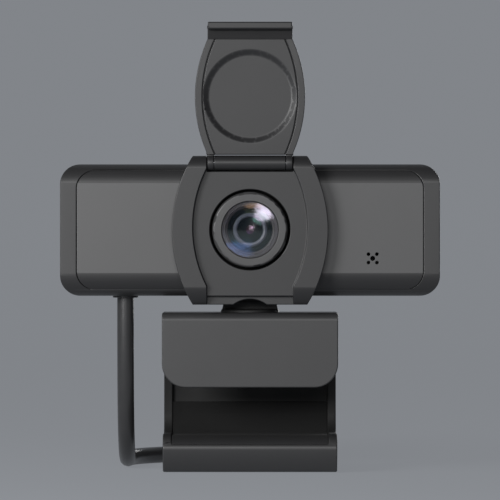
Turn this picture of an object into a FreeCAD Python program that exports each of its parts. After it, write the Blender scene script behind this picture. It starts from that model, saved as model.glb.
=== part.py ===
import FreeCAD, Part
import math
import os

from FreeCAD import Vector

# A desktop webcam on a folding monitor clip, with a flip-up privacy lid and a tied-up USB cord.
# Millimetres. +X is the viewer's right, -Y is the front, +Z is up, and the foot stands at Z 0.
# Sizes are laid out about the neck, and place() then puts the origin under the middle of the depth.

# ---------------------------------------------------------------- camera bar
CLIP_TOP = 40.0
NECK_RISE = 4.25          # from the clip's top to the bar's underside
BAR_WIDTH = 95.0
BAR_BOTTOM = CLIP_TOP + NECK_RISE
BAR_HEIGHT = 33.0
BAR_CORNER_R = 5.0
BAR_FRONT_Y = -12.0
BAR_DEPTH = 20.0
BAR_REAR_R = 4.5
BROW_DROP = 4.75          # height of the band that curves back above the flat front
CHIN_RISE = 5.75          # the same below it
BROW_SETBACK = 5.5        # how far back those bands reach
BAND_MID_BACK = 0.27      # middle of each band's arc, as shares of its setback and its height
BAND_MID_IN = 0.335
WALL = 2.0
BAR_TOP = BAR_BOTTOM + BAR_HEIGHT
BAR_REAR_Y = BAR_FRONT_Y + BAR_DEPTH
INNER_REAR_Y = BAR_REAR_Y - WALL

PANEL_BAND = 1.65         # housing rim seen above and below the front panel
PANEL_END = 4.2           # housing rim seen at each end of it
PANEL_CORNER_R = 4.5
PANEL_THICK = 1.8
PANEL_GAP = 0.1
PANEL_BACK_Y = BAR_FRONT_Y + PANEL_THICK

LENS_Z = BAR_BOTTOM + 16.55
MIC_X = BAR_WIDTH / 2 - 16.8
MIC_Z = LENS_Z - 7.15
MIC_HOLE_R = 0.58
MIC_SIDE_HOLE_R = 0.42
MIC_HOLE_STEP = 1.05

# ---------------------------------------------------------------- lens cover
COVER_BOTTOM = BAR_BOTTOM - 2.15
COVER_TOP = BAR_TOP + 2.0
COVER_HALF_END = 14.3
COVER_HALF_MID = 19.5
COVER_PLATE_THICK = 2.7   # centre plate, in front of the bar
RAIL_RISE = 1.8           # side rails, in front of the centre plate
RAIL_ROLL_TOP = 4.0       # height of each rolled end
RAIL_ROLL_LOW = 6.0
RECESS_HALF_END = 10.8
RECESS_HALF_MID = 14.3
RECESS_TOP = COVER_TOP - 3.15
RECESS_BOTTOM = COVER_BOTTOM + 4.7
COVER_WRAP = 3.5          # how far the cover reaches back over the bar's curved bands
LEDGE_TOP = COVER_BOTTOM + 2.15
LEDGE_SETBACK = 1.7
NOTCH_R = 6.9
NOTCH_TOP = COVER_BOTTOM + 1.4
COVER_FACE_Y = BAR_FRONT_Y - COVER_PLATE_THICK
RAIL_FACE_Y = COVER_FACE_Y - RAIL_RISE

# ---------------------------------------------------------------- optics
RING_R = 9.43
RING_GAP = 0.64
COVER_HOLE_R = RING_R + RING_GAP
RING_INNER_R = 7.15
RING_RISE = 0.5
RING_BEVEL = 0.6
BARREL_R = RING_INNER_R - 0.15
BARREL_WALL = 0.9
GLASS_R = RING_INNER_R - 0.1
GLASS_EDGE = 0.9
GLASS_DOME = 0.95
RING_FACE_Y = COVER_FACE_Y - RING_RISE
GLASS_EDGE_Y = RING_FACE_Y + 0.45
HOLDER_HALF = BARREL_R + 2.0
BOARD_THICK = 1.5
BOARD_FACE_Y = BAR_FRONT_Y + 10.5
BOARD_BACK_Y = BOARD_FACE_Y + BOARD_THICK
HOLDER_FRONT_Y = PANEL_BACK_Y + 0.9
BARREL_BACK_Y = BOARD_FACE_Y - 2.6
SENSOR_HALF = 4.5
SENSOR_THICK = 1.1
FILTER_HALF = 4.4
FILTER_THICK = 0.5
FILTER_GAP = 0.4          # behind the barrel
STOP_SETBACK = 1.6
STOP_THICK = 0.8
STOP_BORE_R = 3.1
INNER_LENS_THICK = 2.0

# ---------------------------------------------------------------- privacy lid
LID_HINGE_Z = COVER_TOP - 1.8
LID_HINGE_GAP = 0.2       # hinge axis, in front of the cover's centre plate
HINGE_R = 1.7
HINGE_HALF = 8.9
EAR_GAP = 0.1
HINGE_ROOM = 0.4          # clear space about the hinge
EAR_OUTER = RECESS_HALF_END - 0.2
LID_PIN_R = 0.8
LID_PIN_DEPTH = 2.6
LID_BOTTOM = COVER_TOP + 0.3
LID_TOP = 2 * LID_HINGE_Z - COVER_BOTTOM - 0.15
LID_THICK = 2.6
LID_HALF_END = RECESS_HALF_END - 0.2
LID_HALF_MID = RECESS_HALF_MID - 0.55
LID_STRAIGHT = 4.3
LID_FACE_GAP = 0.3        # closed lid to the cover's centre plate
DISH_R = RING_R + 0.67
DISH_RIM_R = DISH_R + 1.8
DISH_DEPTH = 1.2
LIP_HEIGHT = 1.8
LIP_RISE = 1.1
LIP_GROOVE = 2.6          # the slope that runs in under the lip
LIP_GROOVE_DEPTH = 1.2
SEAM_INSET = 1.75         # line that sets off the lid's side rims
SEAM_WIDTH = 0.25
SEAM_DEPTH = 0.3
LID_HINGE_Y = COVER_FACE_Y - LID_HINGE_GAP
LID_FACE_Y = 2 * LID_HINGE_Y - (COVER_FACE_Y - LID_FACE_GAP)
LID_BACK_Y = LID_FACE_Y + LID_THICK
DISH_Z = 2 * LID_HINGE_Z - LENS_Z

# ---------------------------------------------------------------- neck
TILT_Z = BAR_BOTTOM + 0.35
TILT_PIN_R = 1.2
KNUCKLE_R = TILT_PIN_R + 2.2
KNUCKLE_GAP = 0.4
KNUCKLE_HALF = 6.75
NECK_FOOT_R = 7.5
NECK_FOOT_H = 0.8
NECK_BLOCK_HALF_Y = 2.6
RUN_CLEAR = 0.05
LUG_R = TILT_PIN_R + 1.2
LUG_WIDTH = 3.0
WASHER_THICK = 0.5
PAN_SCREW_R = 1.5
PAN_HEAD_R = 2.6
PAN_HEAD_H = 1.2
PAN_CROSS_HALF = 1.6
PAN_CROSS_WIDTH = 0.7
PAN_WASHER_R = 3.3
PAN_SCREW_TOP = TILT_Z - TILT_PIN_R - 0.8

# ---------------------------------------------------------------- clip
CLIP_HALF = 22.1
CLIP_PLATE = 3.5
JAW_FRONT_Y = -9.0
JAW_THICK = 3.0
JAW_DROP = 18.75
JAW_BOTTOM = CLIP_TOP - JAW_DROP
JAW_CORNER_R = 6.0
JAW_TOP_R = 2.0
PAD_THICK = 1.0
PAD_MARGIN = 3.0
FOLD_Y = 15.5
FOLD_R = 3.5
FOLD_Z = CLIP_TOP - FOLD_R
FOLD_PIN_R = 1.5
FOLD_PIN_HALF = CLIP_HALF - 1.6
FOLD_TONGUE_HALF = 9.8
FOLD_GAP = 0.2

LEG_HALF = CLIP_HALF - 0.2
LEG_WALL = 6.0
LEG_BACK_Y = FOLD_Y + FOLD_R
LEG_FACE_Y = LEG_BACK_Y - LEG_WALL
LEG_TOP = FOLD_Z - FOLD_R - 1.7
LEG_HEEL_R = 8.0
LEG_CORNER_R = 5.0
FOOT_THICK = 9.4
FOOT_NOSE_Y = -9.6
NOSE_MID_Z = 6.2
NOSE_REACH = 6.5          # from the nose back to the top of the foot's hump
NOSE_UNDER = 3.4
TRAY_DEPTH = 1.5
TRAY_RIM = 2.2
LEG_PAD_THICK = 1.2
LEG_PAD_TOP = 17.1
LEG_PAD_END_Z = 7.0       # the pad's front end, on the nose's slope
INSERT_Y = 3.0
THREAD_R = 3.175
THREAD_DEPTH = 6.0
INSERT_R = THREAD_R + 1.425
INSERT_DEPTH = THREAD_DEPTH + 0.6

# ---------------------------------------------------------------- screws, board and small parts
SCREW_R = 1.1
SCREW_HEAD_R = 2.1
SCREW_HEAD_H = 1.2
CASE_SCREW_LENGTH = 12.0
CROSS_HALF = 1.2          # cross recess in a screw's head
CROSS_WIDTH = 0.5
CROSS_DEPTH = 0.7
BOARD_HALF_X = BAR_WIDTH / 2 - 11.5
BOARD_ABOVE = 6.0         # board's lower edge, above the bar's underside
BOARD_BELOW = 2.4         # its upper edge, below the bar's top
BOARD_SCREW_X = BAR_WIDTH / 2 - 23.5
BOARD_SCREW_IN_Z = 4.0
POST_R = SCREW_R + 1.2
WINDOW_EDGE = PANEL_BAND + 0.4
POST_X = BAR_WIDTH / 2 - PANEL_END - WINDOW_EDGE - POST_R - 0.45
POST_IN_Z = PANEL_BAND + WINDOW_EDGE + POST_R + 0.2
CONNECTOR_X = -22.0
CONNECTOR_HALF_X = 5.0
CONNECTOR_HALF_Z = 2.5
CONNECTOR_DEPTH = 4.0
MIC_HALF_X = 1.5
MIC_HALF_Z = 1.25
MIC_THICK = 1.1
GASKET_R = 3.6
GASKET_BORE_R = 1.7

# ---------------------------------------------------------------- cord
CORD_R = 2.1
CORD_X = 16.1 - BAR_WIDTH / 2
CORD_Y = -1.5
GROMMET_R = 3.2
GROMMET_FLANGE_R = 4.0
GROMMET_FLANGE_H = 3.4
GROMMET_PROUD = 0.5
CORD_TOP = BAR_BOTTOM - GROMMET_PROUD
HANK_START_Y = 56.0
HANK_LENGTH = 84.0
HANK_HALF = 18.9
HANK_HEIGHT = 16.9
TIE_WIDTH = 8.0
TIE_THICK = 0.8
HANK_WAIST_HALF = 8.8 + TIE_THICK
PLUG_START_Y = 104.0
PLUG_BODY = (15.5, 26.0, 8.0)
PLUG_NUB_LENGTH = 5.0
PLUG_NUB_R = 2.8
SHELL_SIZE = (12.0, 14.0, 4.5)
SHELL_WALL = 0.35
SHELL_IN_BODY = 2.0
TONGUE_THICK = 1.9
CONTACT_PITCH = 2.5
CONTACT_WIDTH = 1.0
CONTACT_THICK = 0.15
# hangs from the bar, turns back along the desk and swings in behind the clip
CORD_ROUTE = [
    (CORD_X, CORD_Y, CORD_TOP),
    (CORD_X, CORD_Y, 17.0),
    (CORD_X, 13.4, CORD_R),
    (CORD_X, 36.0, CORD_R),
    (-16.8, 54.0, CORD_R),
    (-16.8, 73.0, CORD_R),
]

HINGE_FRONT_Y = LID_HINGE_Y - HINGE_R
ORIGIN_Y = (HINGE_FRONT_Y + LEG_BACK_Y) / 2

X_AXIS = Vector(1, 0, 0)
TINY = 0.01
FAR = 99.0                # past the object's edge, for a tool that cuts right through


# ---------------------------------------------------------------- drawing helpers
def box(x0, x1, y0, y1, z0, z1):
    return Part.makeBox(x1 - x0, y1 - y0, z1 - z0, Vector(x0, y0, z0))


def rod(radius, start, end):
    start = Vector(*start)
    way = Vector(*end) - start
    return Part.makeCylinder(radius, way.Length, start, way)


def tube(outer, inner, start, end):
    return rod(outer, start, end).cut(rod(inner, start, end))


def cone(r_start, r_end, start, end):
    start = Vector(*start)
    way = Vector(*end) - start
    return Part.makeCone(r_start, r_end, way.Length, start, way)


def outline(to_space, start, steps):
    """A closed face. Each step is an end point, or a middle and an end point for an arc."""
    edges = []
    here = start
    for step in steps + [start]:
        if isinstance(step[0], tuple):
            middle, there = step
            edges.append(Part.Arc(to_space(here), to_space(middle), to_space(there)).toShape())
        else:
            there = step
            if (Vector(*here, 0) - Vector(*there, 0)).Length > 1e-6:
                edges.append(Part.LineSegment(to_space(here), to_space(there)).toShape())
        here = there
    return Part.Face(Part.Wire(edges))


def front_prism(y0, y1, start, steps):
    """An outline drawn in X and Z, as seen from the front, and extruded from y0 to y1."""
    return outline(lambda p: Vector(p[0], y0, p[1]), start, steps).extrude(Vector(0, y1 - y0, 0))


def side_prism(x0, x1, start, steps):
    """An outline drawn in Y and Z, as seen from the side, and extruded from x0 to x1."""
    return outline(lambda p: Vector(x0, p[0], p[1]), start, steps).extrude(Vector(x1 - x0, 0, 0))


def plan_prism(z0, z1, start, steps):
    """An outline drawn in X and Y, as seen from above, and extruded from z0 to z1."""
    return outline(lambda p: Vector(p[0], p[1], z0), start, steps).extrude(Vector(0, 0, z1 - z0))


def corner(cx, cz, radius, start_deg):
    """A quarter-circle step about (cx, cz), turning left from start_deg."""
    points = []
    for deg in (start_deg + 45, start_deg + 90):
        turn = math.radians(deg)
        points.append((cx + radius * math.cos(turn), cz + radius * math.sin(turn)))
    return tuple(points)


def rounded_front(y0, y1, x0, x1, z0, z1, radius):
    steps = [
        (x1 - radius, z0),
        corner(x1 - radius, z0 + radius, radius, -90),
        (x1, z1 - radius),
        corner(x1 - radius, z1 - radius, radius, 0),
        (x0 + radius, z1),
        corner(x0 + radius, z1 - radius, radius, 90),
        (x0, z0 + radius),
        corner(x0 + radius, z0 + radius, radius, 180),
    ]
    return front_prism(y0, y1, (x0 + radius, z0), steps)


def edges_where(shape, test):
    return [edge for edge in shape.Edges if test(edge)]


def mid(edge):
    return edge.valueAt((edge.FirstParameter + edge.LastParameter) / 2)


def mirrored(shape):
    return shape.mirror(Vector(0, 0, 0), X_AXIS)


# ---------------------------------------------------------------- camera head
def bar_profile(inset):
    """Side outline of the bar: flat front, bands curving back above and below, rounded rear."""
    front = BAR_FRONT_Y + inset
    rear = BAR_REAR_Y - inset
    low = BAR_BOTTOM + inset
    high = BAR_TOP - inset
    r = BAR_REAR_R - inset / 2
    back = BAR_FRONT_Y + BROW_SETBACK
    flat_low = BAR_BOTTOM + CHIN_RISE
    flat_high = BAR_TOP - BROW_DROP
    bend_back = BAND_MID_BACK * (back - front)
    steps = [
        (front, flat_high),
        ((front + bend_back, high - BAND_MID_IN * (high - flat_high)), (back, high)),
        (rear - r, high),
        ((rear - r + r * math.sqrt(0.5), high - r + r * math.sqrt(0.5)), (rear, high - r)),
        (rear, low + r),
        ((rear - r + r * math.sqrt(0.5), low + r - r * math.sqrt(0.5)), (rear - r, low)),
        (back, low),
        ((front + bend_back, low + BAND_MID_IN * (flat_low - low)), (front, flat_low)),
    ]
    return (front, flat_low), steps


def bar_body(inset=0.0):
    half = BAR_WIDTH / 2 - inset
    start, steps = bar_profile(inset)
    side = side_prism(-half, half, start, steps)
    front = rounded_front(BAR_FRONT_Y - 1, BAR_REAR_Y + 1, -half, half,
                          BAR_BOTTOM + inset, BAR_TOP - inset, BAR_CORNER_R - inset / 2)
    return side.common(front)


def panel_outline(y0, y1, grow):
    half = BAR_WIDTH / 2 - PANEL_END + grow
    return rounded_front(y0, y1, -half, half, BAR_BOTTOM + PANEL_BAND - grow,
                         BAR_TOP - PANEL_BAND + grow, PANEL_CORNER_R + grow)


def screw_places():
    return [(x, z) for x in (-POST_X, POST_X)
            for z in (BAR_BOTTOM + POST_IN_Z, BAR_TOP - POST_IN_Z)]


def board_screw_places():
    return [(x, z) for x in (-BOARD_SCREW_X, BOARD_SCREW_X)
            for z in (BAR_BOTTOM + BOARD_SCREW_IN_Z + WALL, BAR_TOP - BOARD_SCREW_IN_Z - WALL)]


def tilt_lug(side):
    """One lug for the tilt pin, hanging from the housing's underside."""
    x0 = KNUCKLE_HALF + WASHER_THICK
    lug = rod(LUG_R, (x0, 0, TILT_Z), (x0 + LUG_WIDTH, 0, TILT_Z))
    lug = lug.fuse(box(x0, x0 + LUG_WIDTH, -LUG_R, LUG_R, TILT_Z, BAR_BOTTOM + 2 * WALL))
    return lug if side > 0 else mirrored(lug)


def rear_housing():
    body = bar_body()
    shell = body.cut(bar_body(WALL).common(box(-FAR, FAR, PANEL_BACK_Y, FAR, 0, FAR)))
    shell = shell.cut(panel_outline(BAR_FRONT_Y - 1, PANEL_BACK_Y, PANEL_GAP))
    window = panel_outline(PANEL_BACK_Y - 1, 0, -WINDOW_EDGE)
    shell = shell.cut(window.common(bar_body(WALL / 2)))
    groove_half = KNUCKLE_HALF + WASHER_THICK
    groove_r = KNUCKLE_R + KNUCKLE_GAP
    hump = rod(groove_r + WALL, (-groove_half - WALL, 0, TILT_Z), (groove_half + WALL, 0, TILT_Z))
    shell = shell.fuse(hump.common(box(-FAR, FAR, -FAR, FAR, BAR_BOTTOM, FAR)))
    shell = shell.fuse([tilt_lug(1), tilt_lug(-1)])
    shell = shell.cut(rod(groove_r, (-groove_half, 0, TILT_Z), (groove_half, 0, TILT_Z)))
    shell = shell.cut(rod(TILT_PIN_R, (-groove_half - LUG_WIDTH, 0, TILT_Z),
                          (groove_half + LUG_WIDTH, 0, TILT_Z)))
    for x, z in board_screw_places():
        boss = tube(POST_R, SCREW_R, (x, BOARD_BACK_Y, z), (x, INNER_REAR_Y + TINY, z))
        shell = shell.fuse(boss)
    for x, z in screw_places():
        shell = shell.cut(rod(SCREW_R + RUN_CLEAR, (x, 0, z), (x, BAR_REAR_Y + 1, z)))
        shell = shell.cut(rod(SCREW_HEAD_R + RUN_CLEAR, (x, BAR_REAR_Y - SCREW_HEAD_H, z),
                              (x, BAR_REAR_Y + 1, z)))
    return shell.cut(rod(GROMMET_R, (CORD_X, CORD_Y, BAR_BOTTOM - 1),
                         (CORD_X, CORD_Y, BAR_BOTTOM + WALL)))


def front_panel():
    skin = bar_body().common(panel_outline(BAR_FRONT_Y - 1, PANEL_BACK_Y, 0.0))
    for x, z in screw_places():
        post = tube(POST_R, SCREW_R, (x, PANEL_BACK_Y - TINY, z), (x, INNER_REAR_Y - 0.1, z))
        skin = skin.fuse(post)
    skin = skin.cut(rod(RING_R, (0, BAR_FRONT_Y - 1, LENS_Z), (0, PANEL_BACK_Y + 1, LENS_Z)))
    holes = [(MIC_X, MIC_Z, MIC_HOLE_R)]
    for dx in (-MIC_HOLE_STEP, MIC_HOLE_STEP):
        for dz in (-MIC_HOLE_STEP, MIC_HOLE_STEP):
            holes.append((MIC_X + dx, MIC_Z + dz, MIC_SIDE_HOLE_R))
    for x, z, r in holes:
        skin = skin.cut(rod(r, (x, BAR_FRONT_Y - 1, z), (x, PANEL_BACK_Y + 1, z)))
    return skin


def barrel_shape(y0, y1, half_end, half_mid, low, high, mid_z):
    start = (-half_end, low)
    steps = [(half_end, low), ((half_mid, mid_z), (half_end, high)), (-half_end, high),
             ((-half_mid, mid_z), (-half_end, low))]
    return front_prism(y0, y1, start, steps)


def recess_shape(y0, y1):
    """The space between the rails: straight at its ends, and bowed in between."""
    half = RECESS_HALF_END
    bow = (RECESS_HALF_MID, (RECESS_TOP + RECESS_BOTTOM) / 2)
    below = COVER_BOTTOM - 1
    above = COVER_TOP + 1
    steps = [(half, below), (half, RECESS_BOTTOM), (bow, (half, RECESS_TOP)), (half, above),
             (-half, above), (-half, RECESS_TOP), ((-bow[0], bow[1]), (-half, RECESS_BOTTOM))]
    return front_prism(y0, y1, (-half, below), steps)


def cover_frame():
    mid_z = (COVER_TOP + COVER_BOTTOM) / 2
    frame = barrel_shape(RAIL_FACE_Y, BAR_FRONT_Y + COVER_WRAP, COVER_HALF_END, COVER_HALF_MID,
                         COVER_BOTTOM, COVER_TOP, mid_z)
    roll = RAIL_FACE_Y + RAIL_RISE + 1.0
    side = side_prism(-FAR, FAR, (RAIL_FACE_Y, COVER_BOTTOM + RAIL_ROLL_LOW), [
        (RAIL_FACE_Y, COVER_TOP - RAIL_ROLL_TOP),
        ((RAIL_FACE_Y + 0.8, COVER_TOP - 0.31 * RAIL_ROLL_TOP), (roll, COVER_TOP)),
        (BAR_FRONT_Y + COVER_WRAP, COVER_TOP),
        (BAR_FRONT_Y + COVER_WRAP, COVER_BOTTOM),
        (roll, COVER_BOTTOM),
        ((RAIL_FACE_Y + 0.8, COVER_BOTTOM + 0.35 * RAIL_ROLL_LOW),
         (RAIL_FACE_Y, COVER_BOTTOM + RAIL_ROLL_LOW)),
    ])
    frame = frame.common(side)
    frame = frame.cut(recess_shape(RAIL_FACE_Y - 1, COVER_FACE_Y))
    ledge = box(-RECESS_HALF_END, RECESS_HALF_END, RAIL_FACE_Y - 1, COVER_FACE_Y + LEDGE_SETBACK,
                COVER_BOTTOM - 1, LEDGE_TOP)
    frame = frame.cut(ledge)
    below_bar = box(-FAR, FAR, BAR_FRONT_Y + 0.5, FAR, 0, BAR_BOTTOM + 0.35)
    frame = frame.cut(below_bar)
    notch = rod(NOTCH_R, (0, RAIL_FACE_Y - 1, NOTCH_TOP - NOTCH_R), (0, FAR, NOTCH_TOP - NOTCH_R))
    frame = frame.cut(notch)
    frame = frame.cut(bar_body())
    pocket = box(-RECESS_HALF_END, RECESS_HALF_END, RAIL_FACE_Y - 1, LID_HINGE_Y + HINGE_R + HINGE_ROOM,
                 LID_HINGE_Z - HINGE_R - HINGE_ROOM, COVER_TOP + 1)
    frame = frame.cut(pocket)
    hinge = rod(HINGE_R, (-HINGE_HALF, LID_HINGE_Y, LID_HINGE_Z),
                (HINGE_HALF, LID_HINGE_Y, LID_HINGE_Z))
    web = box(-HINGE_HALF, HINGE_HALF, LID_HINGE_Y, LID_HINGE_Y + HINGE_R + 0.6,
              LID_HINGE_Z - HINGE_R, LID_HINGE_Z + HINGE_R)
    frame = frame.fuse([hinge, web])
    for side_of in (-1, 1):
        inner = side_of * (HINGE_HALF - LID_PIN_DEPTH)
        frame = frame.cut(rod(LID_PIN_R + RUN_CLEAR, (inner, LID_HINGE_Y, LID_HINGE_Z),
                              (side_of * FAR, LID_HINGE_Y, LID_HINGE_Z)).common(
                                  box(-EAR_OUTER, EAR_OUTER, -FAR, FAR, 0, FAR)))
    return frame.cut(rod(COVER_HOLE_R, (0, -FAR, LENS_Z), (0, 0, LENS_Z)))


def lens_ring():
    ring = rod(RING_R, (0, RING_FACE_Y + RING_BEVEL, LENS_Z), (0, PANEL_BACK_Y, LENS_Z))
    ring = ring.fuse(cone(RING_R - RING_BEVEL, RING_R, (0, RING_FACE_Y, LENS_Z),
                          (0, RING_FACE_Y + RING_BEVEL, LENS_Z)))
    return ring.cut(rod(RING_INNER_R, (0, RING_FACE_Y - 1, LENS_Z), (0, PANEL_BACK_Y + 1, LENS_Z)))


def lens_stack():
    """The barrel and what it holds, each a disc or ring about the lens axis."""
    seat_y = GLASS_EDGE_Y + GLASS_EDGE
    bore = BARREL_R - BARREL_WALL
    barrel = tube(BARREL_R, bore, (0, seat_y, LENS_Z), (0, BARREL_BACK_Y, LENS_Z))
    sphere_r = (GLASS_R ** 2 + GLASS_DOME ** 2) / (2 * GLASS_DOME)
    apex_y = GLASS_EDGE_Y - GLASS_DOME
    glass = rod(GLASS_R, (0, apex_y, LENS_Z), (0, seat_y, LENS_Z))
    ball = Part.makeSphere(sphere_r, Vector(0, apex_y + sphere_r, LENS_Z))
    keep = ball.fuse(box(-9, 9, GLASS_EDGE_Y, 0, LENS_Z - 9, LENS_Z + 9))
    stop_y = seat_y + STOP_SETBACK
    inner_y = stop_y + STOP_THICK
    return {
        "lens_barrel": barrel,
        "front_glass": glass.common(keep),
        "aperture_stop": tube(bore, STOP_BORE_R, (0, stop_y, LENS_Z), (0, inner_y, LENS_Z)),
        "inner_lens": rod(bore, (0, inner_y, LENS_Z), (0, inner_y + INNER_LENS_THICK, LENS_Z)),
    }


def lens_holder():
    holder = box(-HOLDER_HALF, HOLDER_HALF, HOLDER_FRONT_Y, BOARD_FACE_Y,
                 LENS_Z - HOLDER_HALF, LENS_Z + HOLDER_HALF)
    holder = holder.cut(rod(BARREL_R, (0, -FAR, LENS_Z), (0, BARREL_BACK_Y, LENS_Z)))
    holder = holder.cut(rod(FILTER_HALF - 0.6, (0, -FAR, LENS_Z), (0, BOARD_FACE_Y, LENS_Z)))
    room = SENSOR_HALF + 0.3
    return holder.cut(box(-room, room, BARREL_BACK_Y + FILTER_GAP, 0, LENS_Z - room, LENS_Z + room))


def square_chip(half, y0, thick):
    return box(-half, half, y0, y0 + thick, LENS_Z - half, LENS_Z + half)


def main_board():
    board = rounded_front(BOARD_FACE_Y, BOARD_BACK_Y, -BOARD_HALF_X, BOARD_HALF_X,
                          BAR_BOTTOM + BOARD_ABOVE, BAR_TOP - BOARD_BELOW, 1.0)
    groove = KNUCKLE_R + KNUCKLE_GAP + WALL + 0.3
    half = KNUCKLE_HALF + WASHER_THICK + WALL + LUG_WIDTH
    board = board.cut(box(-half, half, -9, 9, 0, TILT_Z + groove))
    for x, z in board_screw_places():
        board = board.cut(rod(SCREW_R + RUN_CLEAR, (x, -9, z), (x, 9, z)))
    return board


def screw(x, z, head_y, tip_y):
    """A pan-head screw with a cross recess; the tip's Y may lie either side of the head's."""
    way = 1 if tip_y > head_y else -1
    under = head_y + way * SCREW_HEAD_H
    head = rod(SCREW_HEAD_R, (x, head_y, z), (x, under, z))
    body = head.fuse(rod(SCREW_R, (x, under, z), (x, tip_y, z)))
    y0, y1 = sorted((head_y - way, head_y + way * CROSS_DEPTH))
    half = CROSS_WIDTH / 2
    slot = box(x - CROSS_HALF, x + CROSS_HALF, y0, y1, z - half, z + half)
    return body.cut(slot.fuse(box(x - half, x + half, y0, y1, z - CROSS_HALF, z + CROSS_HALF)))


def microphone_parts():
    gasket = tube(GASKET_R, GASKET_BORE_R, (MIC_X, PANEL_BACK_Y, MIC_Z), (MIC_X, BOARD_FACE_Y, MIC_Z))
    mic = box(MIC_X - MIC_HALF_X, MIC_X + MIC_HALF_X, BOARD_FACE_Y - MIC_THICK, BOARD_FACE_Y,
              MIC_Z - MIC_HALF_Z, MIC_Z + MIC_HALF_Z)
    return {"mic_gasket": gasket.cut(mic), "microphone": mic}


def grommet():
    top = BAR_BOTTOM + WALL
    body = rod(GROMMET_R, (CORD_X, CORD_Y, CORD_TOP), (CORD_X, CORD_Y, top))
    flange = cone(GROMMET_FLANGE_R, CORD_R + 0.6, (CORD_X, CORD_Y, top),
                  (CORD_X, CORD_Y, top + GROMMET_FLANGE_H))
    return body.fuse(flange)


# ---------------------------------------------------------------- privacy lid
def lid_slab(y0, y1, inset):
    shoulder = LID_TOP - LID_STRAIGHT
    half = LID_HALF_END - inset
    widest = LID_HALF_MID - inset
    steps = [(half, LID_BOTTOM), ((widest, DISH_Z), (half, shoulder)), (half, LID_TOP - 0.8),
             (half - 0.8, LID_TOP), (-half + 0.8, LID_TOP), (-half, LID_TOP - 0.8),
             (-half, shoulder), ((-widest, DISH_Z), (-half, LID_BOTTOM))]
    return front_prism(y0, y1, (-half, LID_BOTTOM), steps)


def privacy_lid():
    half = LID_HALF_END
    lid = lid_slab(LID_FACE_Y, LID_BACK_Y, 0.0)
    rim = [e for e in lid.Edges if abs(mid(e).y - LID_BACK_Y) < TINY and mid(e).z > LID_BOTTOM + 1]
    lid = lid.makeFillet(0.5, rim)
    floor_y = LID_FACE_Y + DISH_DEPTH
    lid = lid.cut(cone(DISH_RIM_R, DISH_R, (0, LID_FACE_Y, DISH_Z), (0, floor_y, DISH_Z)))
    lip_low = LID_TOP - LIP_HEIGHT
    seams = lid_slab(LID_FACE_Y - 1, LID_FACE_Y + SEAM_DEPTH, SEAM_INSET)
    seams = seams.cut(lid_slab(LID_FACE_Y - 2, LID_FACE_Y + 1, SEAM_INSET + SEAM_WIDTH))
    lid = lid.cut(seams.common(box(-FAR, FAR, -FAR, FAR, LID_BOTTOM, lip_low - LIP_GROOVE)))
    lid = lid.cut(side_prism(-FAR, FAR, (LID_FACE_Y - TINY, lip_low), [
        (LID_FACE_Y + LIP_GROOVE_DEPTH, lip_low - 0.15),
        (LID_FACE_Y - TINY, lip_low - LIP_GROOVE)]))
    lip = box(-half + 0.1, half - 0.1, LID_FACE_Y - LIP_RISE, LID_FACE_Y + 0.4, lip_low, LID_TOP)
    lid = lid.fuse(lip.makeFillet(0.4, edges_where(lip, lambda e: mid(e).y < LID_FACE_Y - LIP_RISE + TINY)))
    for side_of in (-1, 1):
        x0, x1 = sorted((side_of * (HINGE_HALF + EAR_GAP), side_of * EAR_OUTER))
        ear = rod(HINGE_R, (x0, LID_HINGE_Y, LID_HINGE_Z), (x1, LID_HINGE_Y, LID_HINGE_Z))
        arm = box(x0, x1, LID_HINGE_Y - 0.2, LID_HINGE_Y + HINGE_R, LID_HINGE_Z, LID_BOTTOM + TINY)
        lid = lid.fuse([ear, arm])
        lid = lid.cut(rod(LID_PIN_R, (x0, LID_HINGE_Y, LID_HINGE_Z), (x1, LID_HINGE_Y, LID_HINGE_Z)))
    return lid


def lid_hinge_pins():
    tips = HINGE_HALF - LID_PIN_DEPTH + RUN_CLEAR
    pin = rod(LID_PIN_R, (tips, LID_HINGE_Y, LID_HINGE_Z), (EAR_OUTER, LID_HINGE_Y, LID_HINGE_Z))
    return Part.makeCompound([pin, mirrored(pin)])


# ---------------------------------------------------------------- neck
def neck_post():
    foot = cone(NECK_FOOT_R, NECK_FOOT_R - 0.3, (0, 0, CLIP_TOP), (0, 0, CLIP_TOP + NECK_FOOT_H))
    low = CLIP_TOP + NECK_FOOT_H / 2
    wide = NECK_FOOT_R - 0.4
    block = front_prism(-NECK_BLOCK_HALF_Y, NECK_BLOCK_HALF_Y, (-wide, low), [
        (wide, low), (KNUCKLE_HALF, COVER_BOTTOM), (KNUCKLE_HALF, TILT_Z),
        (-KNUCKLE_HALF, TILT_Z), (-KNUCKLE_HALF, COVER_BOTTOM)])
    knuckle = rod(KNUCKLE_R, (-KNUCKLE_HALF, 0, TILT_Z), (KNUCKLE_HALF, 0, TILT_Z))
    neck = foot.fuse([block, knuckle])
    neck = neck.cut(rod(TILT_PIN_R + RUN_CLEAR, (-FAR, 0, TILT_Z), (FAR, 0, TILT_Z)))
    return neck.cut(rod(PAN_SCREW_R, (0, 0, 0), (0, 0, PAN_SCREW_TOP)))


def tilt_parts():
    half = KNUCKLE_HALF + WASHER_THICK + LUG_WIDTH
    pin = rod(TILT_PIN_R, (-half, 0, TILT_Z), (half, 0, TILT_Z))
    washer = tube(LUG_R, TILT_PIN_R, (KNUCKLE_HALF, 0, TILT_Z), (KNUCKLE_HALF + WASHER_THICK, 0, TILT_Z))
    return {"tilt_pin": pin, "tilt_washers": Part.makeCompound([washer, mirrored(washer)])}


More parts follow.
